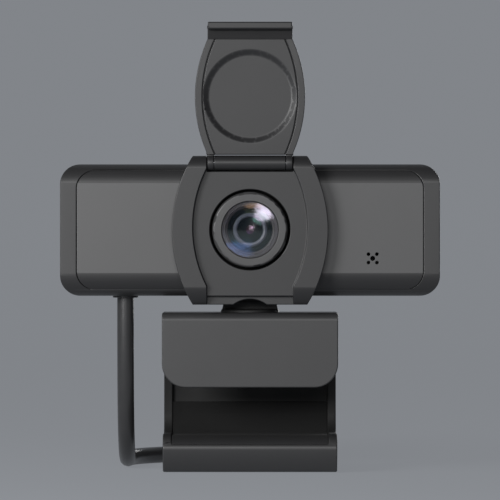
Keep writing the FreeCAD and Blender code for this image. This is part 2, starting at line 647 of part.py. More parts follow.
def pan_parts():
    low = CLIP_TOP - CLIP_PLATE
    under = low + PAN_HEAD_H
    bolt = rod(PAN_HEAD_R, (0, 0, low), (0, 0, under)).fuse(
        rod(PAN_SCREW_R, (0, 0, under), (0, 0, PAN_SCREW_TOP)))
    half = PAN_CROSS_WIDTH / 2
    recess = box(-PAN_CROSS_HALF, PAN_CROSS_HALF, -half, half, low - 1, low + CROSS_DEPTH)
    recess = recess.fuse(box(-half, half, -PAN_CROSS_HALF, PAN_CROSS_HALF, low - 1, low + CROSS_DEPTH))
    bolt = bolt.cut(recess)
    washer = tube(PAN_WASHER_R, PAN_SCREW_R + RUN_CLEAR, (0, 0, under), (0, 0, under + WASHER_THICK))
    return {"pan_screw": bolt, "pan_washer": washer}


# ---------------------------------------------------------------- clip
def fold_pin():
    return rod(FOLD_PIN_R, (-FOLD_PIN_HALF, FOLD_Y, FOLD_Z), (FOLD_PIN_HALF, FOLD_Y, FOLD_Z))


def clip_bracket():
    plate = side_prism(-CLIP_HALF, CLIP_HALF, (JAW_FRONT_Y, JAW_BOTTOM), [
        (JAW_FRONT_Y, CLIP_TOP - JAW_TOP_R),
        ((JAW_FRONT_Y + JAW_TOP_R * (1 - math.sqrt(0.5)), CLIP_TOP - JAW_TOP_R * (1 - math.sqrt(0.5))),
         (JAW_FRONT_Y + JAW_TOP_R, CLIP_TOP)),
        (FOLD_Y, CLIP_TOP),
        (FOLD_Y, CLIP_TOP - CLIP_PLATE),
        (JAW_FRONT_Y + JAW_THICK, CLIP_TOP - CLIP_PLATE),
        (JAW_FRONT_Y + JAW_THICK, JAW_BOTTOM),
    ])
    round_jaw = rounded_front(JAW_FRONT_Y - 1, JAW_FRONT_Y + JAW_THICK + 0.5, -CLIP_HALF, CLIP_HALF,
                              JAW_BOTTOM, CLIP_TOP + 2 * JAW_CORNER_R, JAW_CORNER_R)
    behind = box(-CLIP_HALF, CLIP_HALF, JAW_FRONT_Y + JAW_THICK, FAR, 0, FAR)
    bracket = plate.common(round_jaw.fuse(behind))
    knuckles = rod(FOLD_R, (-CLIP_HALF, FOLD_Y, FOLD_Z), (CLIP_HALF, FOLD_Y, FOLD_Z))
    bracket = bracket.fuse(knuckles)
    room_r = FOLD_R + FOLD_GAP
    room_half = FOLD_TONGUE_HALF + FOLD_GAP
    bracket = bracket.cut(rod(room_r, (-room_half, FOLD_Y, FOLD_Z), (room_half, FOLD_Y, FOLD_Z)))
    bracket = bracket.cut(box(-room_half, room_half, FOLD_Y, FAR, 0, FAR))
    bracket = bracket.cut(fold_pin())
    low = CLIP_TOP - CLIP_PLATE
    recess_r = PAN_WASHER_R + 0.2
    bracket = bracket.cut(rod(recess_r, (0, 0, low - 1), (0, 0, low + PAN_HEAD_H + WASHER_THICK)))
    return bracket.cut(rod(PAN_SCREW_R + RUN_CLEAR, (0, 0, 0), (0, 0, FAR)))


def jaw_pad():
    y0 = JAW_FRONT_Y + JAW_THICK
    return rounded_front(y0, y0 + PAD_THICK, -CLIP_HALF + PAD_MARGIN, CLIP_HALF - PAD_MARGIN,
                         JAW_BOTTOM + PAD_MARGIN, CLIP_TOP - CLIP_PLATE - 0.6, 2.0)


def leg_outline(sink):
    """The leg's side outline, its inner face and the nose's slope lowered by sink."""
    wall_y = LEG_FACE_Y + sink
    floor_z = FOOT_THICK - sink
    r = LEG_CORNER_R + sink
    bend = math.sqrt(0.5)
    heel = LEG_HEEL_R
    nose_y = FOOT_NOSE_Y + sink
    hump_y = FOOT_NOSE_Y + NOSE_REACH
    rise = floor_z - NOSE_MID_Z
    return (LEG_BACK_Y, LEG_TOP), [
        (wall_y, LEG_TOP),
        (wall_y, floor_z + r),
        ((wall_y - r + r * bend, floor_z + r - r * bend), (wall_y - r, floor_z)),
        (hump_y, floor_z),
        ((nose_y + 0.24 * (hump_y - nose_y), NOSE_MID_Z + 0.66 * rise), (nose_y, NOSE_MID_Z)),
        ((nose_y + 0.36 * NOSE_UNDER, 0.42 * NOSE_MID_Z), (nose_y + NOSE_UNDER, 0)),
        (LEG_BACK_Y - heel, 0),
        ((LEG_BACK_Y - heel + heel * bend, heel - heel * bend), (LEG_BACK_Y, heel)),
    ]


def leg_slab(half, sink):
    start, steps = leg_outline(sink)
    return side_prism(-half, half, start, steps)


def tray_region(top):
    """Where the tray may reach: between the rims, and above the pad's front end."""
    half = LEG_HALF - TRAY_RIM
    return box(-half, half, FOOT_NOSE_Y - 1, LEG_BACK_Y - 1, LEG_PAD_END_Z, top)


def clip_leg():
    tray = tray_region(LEG_TOP - 2.0).cut(leg_slab(LEG_HALF, TRAY_DEPTH))
    leg = leg_slab(LEG_HALF, 0.0).cut(tray)
    tongue = rod(FOLD_R, (-FOLD_TONGUE_HALF, FOLD_Y, FOLD_Z), (FOLD_TONGUE_HALF, FOLD_Y, FOLD_Z))
    stem = box(-FOLD_TONGUE_HALF, FOLD_TONGUE_HALF, FOLD_Y - 0.5, LEG_BACK_Y, LEG_TOP - TINY, FOLD_Z)
    leg = leg.fuse([tongue, stem])
    leg = leg.cut(rod(FOLD_PIN_R + RUN_CLEAR, (-FAR, FOLD_Y, FOLD_Z), (FAR, FOLD_Y, FOLD_Z)))
    return leg.cut(rod(INSERT_R, (0, INSERT_Y, 0), (0, INSERT_Y, INSERT_DEPTH)))


def leg_pad():
    skin = leg_slab(LEG_HALF, TRAY_DEPTH - LEG_PAD_THICK).cut(leg_slab(LEG_HALF, TRAY_DEPTH))
    return skin.common(tray_region(LEG_PAD_TOP))


def tripod_insert():
    barrel = rod(INSERT_R, (0, INSERT_Y, 0), (0, INSERT_Y, INSERT_DEPTH))
    return barrel.cut(rod(THREAD_R, (0, INSERT_Y, 0), (0, INSERT_Y, THREAD_DEPTH)))


# ---------------------------------------------------------------- cord
def cord_tube():
    """Straight runs joined by tangent arcs, each as large as its two runs allow."""
    points = [Vector(*p) for p in CORD_ROUTE]
    edges = []
    here = points[0]
    length = 0.0
    for before, at, after in zip(points, points[1:], points[2:]):
        way_in = (at - before).normalize()
        way_out = (after - at).normalize()
        turn = way_in.getAngle(way_out)
        cut_back = 0.45 * min((at - before).Length, (after - at).Length)
        radius = cut_back / math.tan(turn / 2)
        print("cord arc radius %.1f mm, turn %.0f degrees" % (radius, math.degrees(turn)))
        arc_in = at - way_in * cut_back
        arc_out = at + way_out * cut_back
        centre_way = (way_out - way_in).normalize()
        centre = at + centre_way * (radius / math.cos(turn / 2))
        middle = centre - centre_way * radius
        edges.append(Part.LineSegment(here, arc_in).toShape())
        edges.append(Part.Arc(arc_in, middle, arc_out).toShape())
        length += (arc_in - here).Length + radius * turn
        here = arc_out
    edges.append(Part.LineSegment(here, points[-1]).toShape())
    length += (points[-1] - here).Length
    circle = Part.makeCircle(CORD_R, points[0], points[1] - points[0])
    solid = Part.Wire(edges).makePipeShell([Part.Wire([circle])], True, False)
    ratio = solid.Volume / (math.pi * CORD_R ** 2 * length)
    print("cord tube length %.1f mm, volume ratio %.4f" % (length, ratio))
    return solid


def tie_box(shrink):
    middle = HANK_START_Y + HANK_LENGTH / 2
    half = HANK_WAIST_HALF - shrink
    return box(-half, half, middle - TIE_WIDTH / 2, middle + TIE_WIDTH / 2, shrink,
               HANK_HEIGHT + TIE_THICK - shrink)


def cord_hank():
    """The wound-up length of cord: a round lobe at each end and a tied waist between."""
    near = HANK_START_Y + HANK_HALF
    far = HANK_START_Y + HANK_LENGTH - HANK_HALF
    waist = HANK_WAIST_HALF - TIE_THICK
    half_tie = TIE_WIDTH / 2
    middle = (near + far) / 2
    hank = plan_prism(0, HANK_HEIGHT, (-HANK_HALF, near), [
        ((0, HANK_START_Y), (HANK_HALF, near)),
        (waist, middle - half_tie),
        (waist, middle + half_tie),
        (HANK_HALF, far),
        ((0, far + HANK_HALF), (-HANK_HALF, far)),
        (-waist, middle + half_tie),
        (-waist, middle - half_tie),
    ])
    band = box(-FAR, FAR, middle - half_tie, middle + half_tie, -1, TIE_THICK)
    return hank.cut(band)


def plug_parts():
    wide, long, thick = PLUG_BODY
    z_mid = HANK_HEIGHT + thick / 2
    y1 = PLUG_START_Y + long
    body = box(-wide / 2, wide / 2, PLUG_START_Y, y1, z_mid - thick / 2, z_mid + thick / 2)
    sharp = edges_where(body, lambda e: abs(e.Length - long) < TINY)
    body = body.makeFillet(2.0, sharp)
    nub = cone(CORD_R + 0.3, PLUG_NUB_R, (0, PLUG_START_Y - PLUG_NUB_LENGTH, z_mid),
               (0, PLUG_START_Y + TINY, z_mid))
    s_wide, s_long, s_thick = SHELL_SIZE
    y0 = y1 - SHELL_IN_BODY
    shell = box(-s_wide / 2, s_wide / 2, y0, y1 + s_long - SHELL_IN_BODY,
                z_mid - s_thick / 2, z_mid + s_thick / 2)
    body = body.fuse(nub).cut(shell)
    inner_x = s_wide / 2 - SHELL_WALL
    inner_z = s_thick / 2 - SHELL_WALL
    y2 = y1 + s_long - SHELL_IN_BODY
    hollow = box(-inner_x, inner_x, y0 + 1.0, y2 + 1, z_mid - inner_z, z_mid + inner_z)
    tongue = box(-inner_x, inner_x, y0 + 1.0, y2 - 0.6, z_mid - inner_z, z_mid - inner_z + TONGUE_THICK)
    contacts = []
    z0 = z_mid - inner_z + TONGUE_THICK
    for place_number in range(4):
        x = (place_number - 1.5) * CONTACT_PITCH
        contacts.append(box(x - CONTACT_WIDTH / 2, x + CONTACT_WIDTH / 2, y0 + 3.0, y2 - 2.0,
                            z0, z0 + CONTACT_THICK))
    return {
        "plug_overmould": body,
        "plug_shell": shell.cut(hollow),
        "plug_tongue": tongue,
        "plug_contacts": Part.makeCompound(contacts),
    }


# ---------------------------------------------------------------- the assembly
def build():
    front_head = min(BOARD_FACE_Y, BOARD_BACK_Y) - SCREW_HEAD_H
    case_screws = [screw(x, z, BAR_REAR_Y, BAR_REAR_Y - CASE_SCREW_LENGTH) for x, z in screw_places()]
    board_screws = [screw(x, z, front_head, INNER_REAR_Y - 1.0) for x, z in board_screw_places()]
    parts = {
        "rear_housing": rear_housing(),
        "front_plate": front_panel(),
        "cover_frame": cover_frame(),
        "lens_ring": lens_ring(),
        "lens_holder": lens_holder(),
        "ir_filter": square_chip(FILTER_HALF, BARREL_BACK_Y + FILTER_GAP, FILTER_THICK),
        "image_sensor": square_chip(SENSOR_HALF, BOARD_FACE_Y - SENSOR_THICK, SENSOR_THICK),
        "main_board": main_board(),
        "cable_connector": box(CONNECTOR_X - CONNECTOR_HALF_X, CONNECTOR_X + CONNECTOR_HALF_X,
                               BOARD_BACK_Y, BOARD_BACK_Y + CONNECTOR_DEPTH,
                               LENS_Z - CONNECTOR_HALF_Z, LENS_Z + CONNECTOR_HALF_Z),
        "housing_screws": Part.makeCompound(case_screws),
        "board_screws": Part.makeCompound(board_screws),
        "strain_relief": grommet(),
        "privacy_lid": privacy_lid(),
        "lid_hinge_pins": lid_hinge_pins(),
        "neck_post": neck_post(),
        "clip_bracket": clip_bracket(),
        "jaw_pad": jaw_pad(),
        "leg_hinge_pin": fold_pin(),
        "clip_leg": clip_leg(),
        "leg_pad": leg_pad(),
        "tripod_insert": tripod_insert(),
        "usb_cord": cord_tube(),
        "usb_cord_hank": cord_hank(),
        "cord_tie": tie_box(0.0).cut(tie_box(TIE_THICK)),
    }
    for group in (lens_stack(), microphone_parts(), tilt_parts(), pan_parts(), plug_parts()):
        parts.update(group)
    return parts


def place(shape):
    moved = shape.copy()
    moved.translate(Vector(0, -ORIGIN_Y, 0))
    return moved


os.makedirs("parts", exist_ok=True)
for name, shape in build().items():
    solid_count = len(shape.Solids)
    if solid_count == 0 or not shape.isValid():
        print("CHECK", name, "solids", solid_count, "valid", shape.isValid())
    place(shape).exportStep("parts/" + name + ".step")
    print("%-16s %d solid(s) %9.1f mm3" % (name, solid_count, shape.Volume))
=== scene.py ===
import math

import bpy
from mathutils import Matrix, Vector


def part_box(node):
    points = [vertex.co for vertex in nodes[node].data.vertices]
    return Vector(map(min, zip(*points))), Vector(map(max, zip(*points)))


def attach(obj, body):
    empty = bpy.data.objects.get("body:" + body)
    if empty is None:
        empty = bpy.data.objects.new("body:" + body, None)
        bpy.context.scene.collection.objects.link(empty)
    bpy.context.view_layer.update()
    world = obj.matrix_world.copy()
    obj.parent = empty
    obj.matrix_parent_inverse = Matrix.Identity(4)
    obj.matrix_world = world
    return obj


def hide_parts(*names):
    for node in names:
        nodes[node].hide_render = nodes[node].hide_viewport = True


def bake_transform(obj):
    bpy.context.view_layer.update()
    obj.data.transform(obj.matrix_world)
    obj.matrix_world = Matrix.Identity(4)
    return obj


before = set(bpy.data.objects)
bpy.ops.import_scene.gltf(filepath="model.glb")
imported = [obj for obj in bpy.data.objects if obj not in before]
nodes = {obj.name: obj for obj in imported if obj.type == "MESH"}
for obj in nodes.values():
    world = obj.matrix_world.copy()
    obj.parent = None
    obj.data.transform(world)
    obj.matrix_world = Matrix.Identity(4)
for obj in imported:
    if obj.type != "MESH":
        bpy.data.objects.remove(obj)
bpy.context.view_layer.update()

MM = 0.001
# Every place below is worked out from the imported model's own boxes.
LOW = {name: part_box(name)[0] for name in nodes}
HIGH = {name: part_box(name)[1] for name in nodes}


def centre(name):
    return (LOW[name] + HIGH[name]) / 2


LENS = centre("front_glass")
LENS_X, LENS_Z = LENS.x, LENS.z
GLASS_FRONT_Y = LOW["front_glass"].y
CORD_R = 2.1 * MM
EXIT = Vector((centre("strain_relief").x, centre("strain_relief").y, LOW["strain_relief"].z))


# ---------------------------------------------------------------- shader maths
class Sock:
    """A socket, or a plain number, that can be added, multiplied and so on to make Math nodes."""

    def __init__(self, tree, value):
        self.tree = tree
        self.value = value

    def _math(self, operation, *others, swap=False):
        values = [self.value] + [o.value if isinstance(o, Sock) else o for o in others]
        if swap:
            values.reverse()
        node = self.tree.nodes.new("ShaderNodeMath")
        node.operation = operation
        for place, value in enumerate(values):
            plug_in(self.tree, node.inputs[place], value)
        return Sock(self.tree, node.outputs[0])

    def __add__(self, other):
        return self._math("ADD", other)

    def __radd__(self, other):
        return self._math("ADD", other)

    def __sub__(self, other):
        return self._math("SUBTRACT", other)

    def __rsub__(self, other):
        return self._math("SUBTRACT", other, swap=True)

    def __mul__(self, other):
        return self._math("MULTIPLY", other)

    def __rmul__(self, other):
        return self._math("MULTIPLY", other)

    def clamp(self):
        return self._math("MINIMUM", 1.0)._math("MAXIMUM", 0.0)


def plug_in(tree, socket, value):
    if isinstance(value, Sock):
        value = value.value
    if isinstance(value, bpy.types.NodeSocket):
        tree.links.new(value, socket)
    else:
        socket.default_value = value


class Finish:
    """A material being made: its nodes, its main shader and the object's own coordinates."""

    def __init__(self, name, **values):
        self.material = bpy.data.materials.new(name)
        self.material.use_nodes = True
        self.tree = self.material.node_tree
        self.shader = self.tree.nodes["Principled BSDF"]
        self.place = self.node("ShaderNodeTexCoord").outputs["Object"]
        for key, value in values.items():
            self.set(key.replace("_", " ").title().replace("Ior", "IOR"), value)

    def node(self, kind, settings=None, **inputs):
        node = self.tree.nodes.new(kind)
        for key, value in (settings or {}).items():
            setattr(node, key, value)
        for key, value in inputs.items():
            plug_in(self.tree, node.inputs[key.replace("_", " ")], value)
        return node

    def set(self, socket, value):
        if socket == "Base Color" and not isinstance(value, (Sock, bpy.types.NodeSocket)):
            value = tuple(value) + (1.0,) * (4 - len(value))
        plug_in(self.tree, self.shader.inputs[socket], value)

    def noise(self, scale, detail, roughness=0.5):
        made = self.node("ShaderNodeTexNoise", Vector=self.place, Scale=scale, Detail=detail,
                         Roughness=roughness)
        return Sock(self.tree, made.outputs["Fac"])

    def axis(self, letter):
        made = self.node("ShaderNodeSeparateXYZ", Vector=self.place)
        return Sock(self.tree, made.outputs[letter])

    def mix(self, factor, low, high):
        made = self.node("ShaderNodeMix", {"data_type": "RGBA"})
        plug_in(self.tree, made.inputs[0], factor)
        plug_in(self.tree, made.inputs[6], tuple(low) + (1.0,))
        plug_in(self.tree, made.inputs[7], tuple(high) + (1.0,))
        return made.outputs[2]

    def bump(self, height, distance):
        made = self.node("ShaderNodeBump", Height=height, Distance=distance, Strength=1.0)
        self.set("Normal", made.outputs["Normal"])


# How often the cloudy mottling repeats on plastic and on rubber, and rubber's fine pore, per metre.
PLASTIC_CLOUD = 90.0
RUBBER_CLOUD = 160.0
RUBBER_PORE = 5200.0
# How deep rubber's pore and metal's turning marks are.
RUBBER_DEPTH = 0.02 * MM
METAL_DEPTH = 0.006 * MM


def moulded(name, tone, gloss, grain_size=0.28, grain_depth=0.012, mottle=0.12):
    """Moulded plastic: a fine spark-eroded grain, with faint mottling in tone and gloss."""
    finish = Finish(name)
    cloud = finish.noise(PLASTIC_CLOUD, 4.0)
    low = [c * (1 - mottle) for c in tone]
    high = [c * (1 + mottle) for c in tone]
    finish.set("Base Color", finish.mix(cloud, low, high))
    fine = finish.noise(1.0 / (grain_size * MM), 2.0, 0.6)
    finish.set("Roughness", (gloss + (cloud - 0.5) * 0.10 + (fine - 0.5) * 0.06).clamp())
    finish.bump(fine, grain_depth * MM)
    return finish


def two_part(name, tones, glosses, low, high, blur, grain_size, grain_depth):
    """Moulded plastic with another tone and gloss in a band between two heights."""
    finish = Finish(name)
    height = finish.axis("Z")
    mask = (((height - low) * (1 / blur) + 0.5).clamp()
            * ((high - height) * (1 / blur) + 0.5).clamp())
    cloud = finish.noise(PLASTIC_CLOUD, 4.0)
    fine = finish.noise(1.0 / (grain_size * MM), 2.0, 0.6)
    finish.set("Base Color", finish.mix(mask, tones[0], tones[1]))
    gloss = glosses[0] + (glosses[1] - glosses[0]) * mask
    finish.set("Roughness", (gloss + (cloud - 0.5) * 0.08 + (fine - 0.5) * 0.06).clamp())
    finish.bump(fine, grain_depth * MM)
    return finish


def plated(name, tone, rough, scale=900.0):
    """Metal with fine turning or rolling marks."""
    finish = Finish(name, metallic=1.0)
    marks = finish.noise(scale, 2.0, 0.7)
    finish.set("Base Color", finish.mix(marks, [c * 0.85 for c in tone], tone))
    finish.set("Roughness", (rough + (marks - 0.5) * 0.2).clamp())
    finish.bump(marks, METAL_DEPTH)
    return finish


def soft_rubber(name, tone, gloss):
    """Rubber or vinyl: an even skin with a fine pore and a cloudy sheen."""
    finish = Finish(name)
    cloud = finish.noise(RUBBER_CLOUD, 5.0)
    fine = finish.noise(RUBBER_PORE, 2.0, 0.6)
    finish.set("Base Color", finish.mix(cloud, [c * 0.85 for c in tone], [c * 1.15 for c in tone]))
    finish.set("Roughness", (gloss + (cloud - 0.5) * 0.12).clamp())
    finish.bump(fine + cloud * 0.5, RUBBER_DEPTH)
    return finish


def coated_glass(name, tone, mirror, index):
    """A dark lens element whose coating tints what it mirrors."""
    return Finish(name, base_color=tone, roughness=0.14, ior=index, specular_tint=mirror)


def see_through(name, tint, index=1.46, haze=0.0):
    """Clear glass or a tinted filter, with a little haze where it is coated."""
    return Finish(name, base_color=tint, roughness=haze, ior=index, transmission_weight=1.0)


# The front face is paler between its two rolled edges. The leg and its pad carry painted shade
# above the leg's nose, darker and duller there, for the jaw's shadow on them.
INSERT_LOW = LOW["front_plate"].z + 4.1 * MM
INSERT_HIGH = HIGH["front_plate"].z - 3.1 * MM
INSERT_BLUR = 0.15 * MM
SHADE_FROM_Z = 8.4 * MM
SHADE_EDGE_BLUR = 2.0 * MM
BELOW_ALL = -1.0
LEG_PAINTED_SHADE = (0.006, 0.006, 0.006)
PAD_PAINTED_SHADE = (0.0018, 0.0018, 0.0018)

finishes = {
    "housing": moulded("housing_moulded", (0.026, 0.026, 0.027), 0.42),
    "face": two_part("front_face_satin", [(0.022, 0.022, 0.023), (0.074, 0.074, 0.075)],
                     (0.46, 0.42), INSERT_LOW, INSERT_HIGH, INSERT_BLUR, 0.35, 0.004),
    "cover": moulded("cover_moulded", (0.020, 0.020, 0.021), 0.44),
    "lid": moulded("lid_moulded", (0.020, 0.020, 0.021), 0.44),
    "clip": moulded("clip_moulded", (0.033, 0.033, 0.034), 0.42),
    # Painted shade: the leg is near black above its nose.
    "leg": two_part("leg_moulded_painted_shade", [LEG_PAINTED_SHADE, (0.036, 0.036, 0.037)], (0.70, 0.42),
                    BELOW_ALL, SHADE_FROM_Z, SHADE_EDGE_BLUR, 0.28, 0.012),
    # Painted shade: the neck is darker than the clip's plastic, for the shade under the cover's
    # ledge.
    "neck": moulded("neck_painted_shade", (0.010, 0.010, 0.010), 0.55),
    "ring": moulded("ring_satin_coat", (0.050, 0.050, 0.051), 0.36, 0.2, 0.006),
    "barrel": moulded("barrel_dull_black", (0.004, 0.004, 0.005), 0.55, 0.2, 0.004),
    # Painted shade: a near-black, dull finish for the ring down in the gap round the lens ring.
    "gap_shade": Finish("gap_painted_shade_black", roughness=0.9, specular_ior_level=0.05,
                    base_color=(0.002, 0.002, 0.002, 1.0)),
    # Painted shade: the rubber pads are near black above the leg's nose.
    "pad": two_part("rubber_painted_shade", [PAD_PAINTED_SHADE, (0.014, 0.014, 0.015)], (0.95, 0.55),
                    BELOW_ALL, SHADE_FROM_Z, SHADE_EDGE_BLUR, 0.19, 0.02),
    "jacket": soft_rubber("cord_jacket_vinyl", (0.034, 0.034, 0.035), 0.30),
    "tie": soft_rubber("strap_band", (0.018, 0.018, 0.019), 0.8),
    "steel": plated("plated_steel", (0.62, 0.62, 0.63), 0.28),
    "brass": plated("turned_brass", (0.72, 0.52, 0.24), 0.30),
    "gold": plated("contact_gold", (0.85, 0.62, 0.25), 0.22),
    "board": moulded("board_green", (0.012, 0.085, 0.045), 0.35),
    "chip": moulded("chip_black", (0.020, 0.020, 0.022), 0.5),
    "tongue": moulded("plug_insert_white", (0.75, 0.75, 0.73), 0.4),
    "filter": see_through("filter_tint", (0.5, 0.85, 0.8, 1.0)),
    "glass": see_through("front_glass_clear", (1.0, 1.0, 1.0, 1.0), 1.62, 0.10),
    "coat_green": coated_glass("lens_coat_green", (0.003, 0.006, 0.010, 1.0),
                               (0.30, 0.90, 0.60, 1.0), 1.42),
    "coat_violet": coated_glass("lens_coat_violet", (0.003, 0.002, 0.005, 1.0),
                                (0.95, 0.45, 0.85, 1.0), 2.0),
    "iris": moulded("iris_blue_grey", (0.042, 0.052, 0.066), 0.44, 0.1, 0.002),
}


# ---------------------------------------------------------------- object helpers
def only(obj):
    bpy.ops.object.select_all(action="DESELECT")
    obj.select_set(True)
    bpy.context.view_layer.objects.active = obj


def give(obj, key):
    obj.data.materials.clear()
    obj.data.materials.append(finishes[key].material)


def apply_all(obj):
    only(obj)
    for modifier in list(obj.modifiers):
        bpy.ops.object.modifier_apply(modifier=modifier.name)


def settle(obj):
    """Puts the object's place into its mesh."""
    only(obj)
    bpy.ops.object.transform_apply(location=True, rotation=True, scale=True)


# Corners nearer than JOIN are merged, and facets that turn by less than FLAT. An edge that turns
# by more than ROUND_OVER is rounded, and one past SHADE_OVER stays crisp in the shading.
JOIN = 0.002 * MM
FLAT = math.radians(0.3)
ROUND_OVER = math.radians(50)
SHADE_OVER = math.radians(35)


def soften(name, body, key, width):
    """A copy of a CAD shell with its facets joined and its edges rounded, shown in its place."""
    piece = bpy.data.objects.new(name + "_finished", nodes[name].data.copy())
    bpy.context.collection.objects.link(piece)
    only(piece)
    bpy.ops.object.mode_set(mode="EDIT")
    bpy.ops.mesh.select_all(action="SELECT")
    bpy.ops.mesh.remove_doubles(threshold=JOIN)
    bpy.ops.mesh.dissolve_limited(angle_limit=FLAT)
    bpy.ops.object.mode_set(mode="OBJECT")
    bevel = piece.modifiers.new("edge_round", "BEVEL")
    bevel.width = width
    bevel.segments = 3
    bevel.limit_method = "ANGLE"
    bevel.angle_limit = ROUND_OVER
    bevel.use_clamp_overlap = False
    bevel.miter_outer = "MITER_ARC"
    apply_all(piece)
    bpy.ops.object.shade_smooth_by_angle(angle=SHADE_OVER)
    evened = piece.modifiers.new("even_faces", "WEIGHTED_NORMAL")
    evened.keep_sharp = True
    evened.weight = 100
    apply_all(piece)
    give(piece, key)
    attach(piece, body)
    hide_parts(name)


# ---------------------------------------------------------------- camera
# The camera looks level from this height, and sees this width at the front plate.
VIEW_HEIGHT = 0.05575
FRAME_WIDTH = 0.125
camera_data = bpy.data.cameras.new("front_camera")
camera_data.lens = 345.0
camera_data.sensor_width = 36.0
camera = bpy.data.objects.new("front_camera", camera_data)
bpy.context.collection.objects.link(camera)
VIEW_DISTANCE = FRAME_WIDTH * camera_data.lens / camera_data.sensor_width
camera.location = (0.0, LOW["front_plate"].y - VIEW_DISTANCE, VIEW_HEIGHT)
camera.rotation_euler = (math.radians(90), 0, 0)
camera_data.clip_end = 20.0
bpy.context.scene.camera = camera


# ---------------------------------------------------------------- cord
# The hank: its lobes' and turns' radii, its layers, and its waist inside the tie.
LOBE_R = 18.9 * MM
WIDE_R = 16.8 * MM
NARROW_R = 12.6 * MM
LAYERS = 4
LAYER_STEP = 4.2 * MM
TIE_THICK = 0.8 * MM
WAIST_STEP = 4.0 * MM
WAIST_IN = 2.15 * MM
WAIST_OUT = 6.4 * MM
CROSSING_ROOM = 1.0 * MM
LOBE_END = 6 * MM
WAIST_HALF = 6 * MM
LOBE_STEPS = 6
# The lead to it: where it starts to turn onto the desk, and its points along the desk.
TURN_Z = 17 * MM
DESK_Y = (14.9 * MM, 37.5 * MM, 55.5 * MM)
# How far the cord goes on before and inside the plug.
PLUG_BEFORE = 5 * MM
PLUG_INSIDE = 4 * MM
# How finely the cord's line and its round section are divided, and the edges that stay crisp.
LINE_FINENESS = 6
ROUND_FINENESS = 4
CORD_SHADE_OVER = math.radians(50)


def cord_route():
    """Down from the grommet, back along the desk, round the hank's turns, and to the plug."""
    desk = CORD_R
    back = EXIT.y
    near_y = LOW["usb_cord_hank"].y + LOBE_R
    far_y = HIGH["usb_cord_hank"].y - LOBE_R
    points = [
        (EXIT.x, back, EXIT.z),
        (EXIT.x, back, TURN_Z),
        (EXIT.x, back + DESK_Y[0], desk),
        (EXIT.x, back + DESK_Y[1], desk),
        (-WIDE_R, back + DESK_Y[2], desk),
    ]
    seats = []
    for layer in range(LAYERS):
        pair = [WIDE_R, NARROW_R] if layer % 2 == 0 else [NARROW_R, WIDE_R]
        seats += [(radius, layer) for radius in pair]
    seats.append((NARROW_R, LAYERS))
    steps = LOBE_STEPS
    middle = (near_y + far_y) / 2
    for seat, after in zip(seats, seats[1:]):
        radius, layer = seat
        height = desk + layer * LAYER_STEP
        at_waist = desk + TIE_THICK + layer * WAIST_STEP
        side = WAIST_IN if radius == NARROW_R else WAIST_OUT
        reach = radius / math.cos(math.pi / (2 * steps))
        run = [(radius, near_y + LOBE_END, height), (side, middle - WAIST_HALF, at_waist),
               (side, middle + WAIST_HALF, at_waist), (radius, far_y - LOBE_END, height)]
        points += [(-x, y, z) for x, y, z in run]
        for step in range(steps):
            turn = math.pi * (step + 0.5) / steps
            points.append((-reach * math.cos(turn), far_y + reach * math.sin(turn), height))
        points += reversed(run)
        for step in range(steps):
            part = (step + 0.5) / steps
            turn = math.pi * part
            ease = part * part * (3 - 2 * part)
            push = 0.0
            if after[1] > layer:
                push = CROSSING_ROOM * math.sin(turn) ** 2 * (-1 if radius == NARROW_R else 1)
            here = (radius + (after[0] - radius) * ease + push) * reach / radius
            rise = height + (after[1] - layer) * LAYER_STEP * ease
            points.append((here * math.cos(turn), near_y - here * math.sin(turn), rise))
    top = desk + LAYERS * LAYER_STEP
    plug_z = centre("plug_overmould").z
    plug_y = LOW["plug_overmould"].y
    points += [
        (-NARROW_R, near_y + LOBE_END, top),
        (0.0, plug_y - PLUG_BEFORE, plug_z),
        (0.0, plug_y + PLUG_INSIDE, plug_z),
    ]
    return points


def route_curve(name, points, fineness):
    data = bpy.data.curves.new(name, "CURVE")
    data.dimensions = "3D"
    data.resolution_u = fineness
    spline = data.splines.new("NURBS")
    spline.points.add(len(points) - 1)
    for slot_at, point in zip(spline.points, points):
        slot_at.co = (*point, 1.0)
    spline.order_u = 3
    spline.use_endpoint_u = True
    obj = bpy.data.objects.new(name, data)
    bpy.context.collection.objects.link(obj)
    return obj


def make_cord():
    guide = route_curve("cord_guide", cord_route(), LINE_FINENESS)
    line = bpy.data.meshes.new_from_object(guide)
    path = [v.co.copy() for v in line.vertices]
    guide.data.bevel_depth = CORD_R
    guide.data.bevel_resolution = ROUND_FINENESS
    guide.data.use_fill_caps = True
    only(guide)
    bpy.ops.object.convert(target="MESH")
    cord = bpy.context.view_layer.objects.active
    cord.name = "usb_cord_jacket"
    cord.data.name = "usb_cord_jacket"
    bpy.ops.object.shade_smooth_by_angle(angle=CORD_SHADE_OVER)
    give(cord, "jacket")
    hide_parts("usb_cord", "usb_cord_hank")
    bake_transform(cord)
    return cord, path


# ---------------------------------------------------------------- tie and lens
TIE_CORNER = 2.0 * MM
TIE_WALL = 0.75 * MM
TIE_EDGE = 0.2 * MM
TIE_SHADE_OVER = math.radians(40)
# A turned shape: how near two of its corners are merged, and the edges that stay crisp.
SEAM_JOIN = 0.004 * MM
LATHE_SHADE_OVER = math.radians(30)


def pick(mesh, kind, wanted):
    """Selects only the faces or edges that are wanted, and leaves the mesh in edit mode."""
    bpy.ops.object.mode_set(mode="EDIT")
    bpy.ops.mesh.select_mode(type=kind)
    bpy.ops.mesh.select_all(action="DESELECT")
    bpy.ops.object.mode_set(mode="OBJECT")
    for item in mesh.polygons if kind == "FACE" else mesh.edges:
        item.select = wanted(item)
    bpy.ops.object.mode_set(mode="EDIT")


